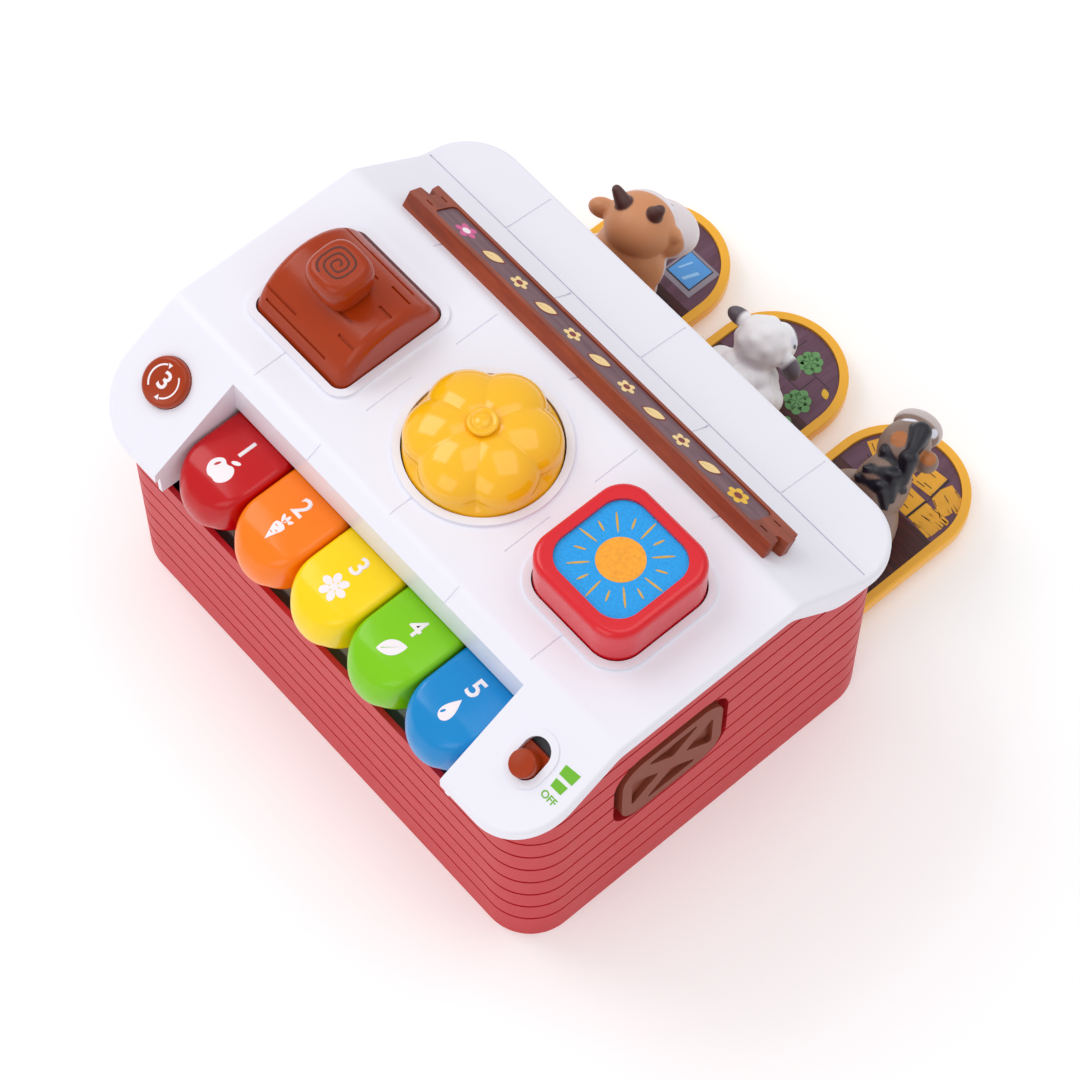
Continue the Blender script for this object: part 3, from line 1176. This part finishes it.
# %% [markdown]
# Straw is many thin stalks at nearly the same angle. A rule sets the stalks in a
# row and gives each its own small turn and length, with a fixed seed.

# %% Straw rule
def straw_rule():
    tree, size = rule_tree("straw_row", {"Count": 14, "Seed": 3, "Spread": 0.02, "Length": 0.02,
                                         "Width": 0.002, "Lean": 0.2})
    do = partial(calc, tree)
    stalk = add_node(tree, "GeometryNodeMeshGrid", {"Size X": 1.0, "Size Y": 1.0, "Vertices X": 2,
                                                    "Vertices Y": 2})
    gap = do("DIVIDE", size["Spread"], do("SUBTRACT", size["Count"], 1.0))
    start = xyz(tree, do("MULTIPLY", size["Spread"], -0.5))
    row = add_node(tree, "GeometryNodeMeshLine", {"Count": size["Count"], "Start Location": start,
                                                  "Offset": xyz(tree, gap)})
    lean = add_node(tree, "FunctionNodeRandomValue", {"Min": do("MULTIPLY", size["Lean"], -1.0),
                                                      "Max": size["Lean"], "Seed": size["Seed"]})
    stretch = add_node(tree, "FunctionNodeRandomValue", {"Min": 0.75, "Max": 1.1, "Seed": size["Seed"]})
    length = do("MULTIPLY", size["Length"], stretch.outputs["Value"])
    stalks = set_on(tree, row.outputs[0], stalk.outputs[0], Rotation=xyz(tree, z=lean.outputs["Value"]),
                    Scale=xyz(tree, size["Width"], length, 1.0))
    return close_rule(tree, size, stalks)


STRAW_ROW = straw_rule()
print("straw row sockets", len(STRAW_ROW.interface.items_tree))

# %% Three sheaves
SHEAVES = [(7.3, 173.1, 0, 0), (6.7, 188.3, 6, -24), (-20.0, 184.0, -24, 10)]
for i, (sx, sy, turn, droop) in enumerate(SHEAVES):
    head = resized([block(0, 0, 11.5, 12.4)], 1.0, turn, sx, sy)
    door_film("right", "straw_head_%d" % i, head, STRAW_INK, 2)
    knot = Matrix.Rotation(radians(turn), 2) @ Vector((6.8, 0))
    fan = resized([[(0, -5.8), (9.5, -6.6), (9.5, 6.6), (0, 5.8)]], 1.0, turn + droop, sx + knot.x,
                  sy + knot.y)
    door_film("right", "straw_body_%d" % i, fan, STRAW_INK, 2)
    way = radians(turn + droop)
    for part, colour, count, far, length, width, height in (("ends", STRAW_INK, 8, 9.6, 9.6, 1.75, 3),
                                                            ("gaps", DARK_INK, 3, 5.6, 4.4, 0.3, 4)):
        stalks = bake("straw_%s_%d" % (part, i), STRAW_ROW, colour, Count=count, Seed=5 + i, Spread=11.6 * MM,
                      Length=length * MM, Width=width * MM, Lean=0.22)
        lay_on_door("right", "straw_%s_%d" % (part, i), stalks, colour, height,
                    sx + knot.x + far * cos(way), sy + knot.y + far * sin(way), turn + droop - 90)
    strokes = [block(px, py, 4.6, 0.32) for px, py in ((-1.5, 3.2), (1.0, -2.6), (-2.0, -4.2))]
    door_film("right", "straw_strokes_%d" % i, resized(strokes, 1.0, turn, sx, sy), DARK_INK, 4)
    tie = resized([block(6.2, 0, 1.1, 12.8)], 1.0, turn, sx, sy)
    door_film("right", "straw_tie_%d" % i, tie, DARK_INK, 5)

# %% [markdown]
# ## Cross-head screws
# Five screws hold the base and the battery door. Each has a cross recess in its
# head. A rule sets two crossed bars on every point it is given, so the list of
# places is all that changes from one toy to the next.

# %% Screw recess rule
def cross_rule():
    tree, size = rule_tree("cross_recess", {"Arm Length": 0.003, "Arm Width": 0.0007, "Depth": 0.0002})
    bars = add_node(tree, "GeometryNodeJoinGeometry")
    for along, across in (("Arm Length", "Arm Width"), ("Arm Width", "Arm Length")):
        extent = xyz(tree, size[along], size[across], size["Depth"])
        bar = add_node(tree, "GeometryNodeMeshCube", {"Size": extent})
        tree.links.new(bar.outputs[0], bars.inputs[0])
    crosses = set_on(tree, size["Geometry"], bars.outputs[0])
    return close_rule(tree, size, crosses)


RECESS_DARK = plastic("recess_dark", (34, 34, 38), rough=0.5, swirl=0.2)
SCREW_HEADS = [(sx * 128.0, sy * 93.5, 0.22) for sx in (-1, 1) for sy in (-1, 1)] + [(0.0, -30.9, 0.16)]
recess_mesh = bake("screw_recess", cross_rule(), RECESS_DARK, [tuple(v * MM for v in p) for p in SCREW_HEADS],
                   Arm_Length=3.6 * MM, Arm_Width=0.8 * MM, Depth=0.3 * MM)
recess = new_object("screw_recess", recess_mesh)
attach(recess, "barn")
print("screw recess faces:", len(recess_mesh.polygons))
